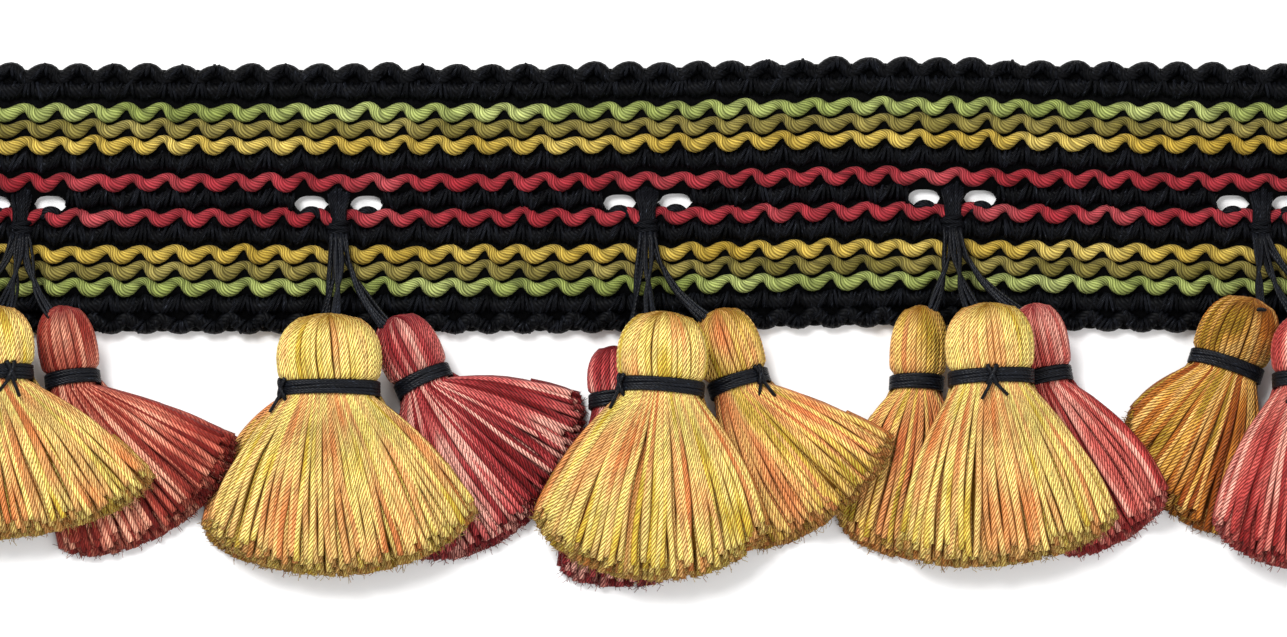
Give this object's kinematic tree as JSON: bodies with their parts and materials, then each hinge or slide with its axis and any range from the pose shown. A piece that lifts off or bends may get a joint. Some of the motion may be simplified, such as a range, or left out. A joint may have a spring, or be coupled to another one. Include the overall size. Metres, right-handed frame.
{
  "type": "tassel fringe trim",
  "caption": "Flat crocheted furnishing trim: black heading with wavy coloured cord rows and small eyelets, from which clusters of tied yarn tassels hang.",
  "frame": {"origin": "middle of the heading's back face, on the bar between the two eyelets of the middle cluster", "axes": "+X along the trim's length, +Y from the tassels to the plain edge of the heading, +Z out of the trim's face, away from the surface that it lies on"},
  "size_m": [0.2586, 0.0887, 0.0163],
  "materials": {
    "heading_cloth": "matt crocheted braid, black ground with green, olive, gold and red cord rows",
    "gold_yarn": "lustrous two-ply yarn, shaded gold, peach and olive",
    "red_yarn": "lustrous two-ply yarn, shaded crimson and salmon",
    "black_yarn": "shiny black binding yarn"
  },
  "bodies": {
    "root": {"heading": "heading_cloth", "tassel_1_left": "gold_yarn", "tie_1_left": "black_yarn", "hanger_1_left": "black_yarn", "tassel_1_front": "gold_yarn", "tie_1_front": "black_yarn", "hanger_1_front": "black_yarn", "tassel_1_right": "red_yarn", "tie_1_right": "black_yarn", "hanger_1_right": "black_yarn", "tassel_2_left": "gold_yarn", "tie_2_left": "black_yarn", "hanger_2_left": "black_yarn", "tassel_2_front": "gold_yarn", "tie_2_front": "black_yarn", "hanger_2_front": "black_yarn", "tassel_2_right": "red_yarn", "tie_2_right": "black_yarn", "hanger_2_right": "black_yarn", "tassel_3_left": "red_yarn", "tie_3_left": "black_yarn", "hanger_3_left": "black_yarn", "tassel_3_front": "gold_yarn", "tie_3_front": "black_yarn", "hanger_3_front": "black_yarn", "tassel_3_right": "gold_yarn", "tie_3_right": "black_yarn", "hanger_3_right": "black_yarn", "tassel_4_left": "gold_yarn", "tie_4_left": "black_yarn", "hanger_4_left": "black_yarn", "tassel_4_front": "gold_yarn", "tie_4_front": "black_yarn", "hanger_4_front": "black_yarn", "tassel_4_right": "red_yarn", "tie_4_right": "black_yarn", "hanger_4_right": "black_yarn", "tassel_5_left": "gold_yarn", "tie_5_left": "black_yarn", "hanger_5_left": "black_yarn", "tassel_5_front": "red_yarn", "tie_5_front": "black_yarn", "hanger_5_front": "black_yarn", "tassel_5_right": "gold_yarn", "tie_5_right": "black_yarn", "hanger_5_right": "black_yarn"}
  },
  "joints": []
}
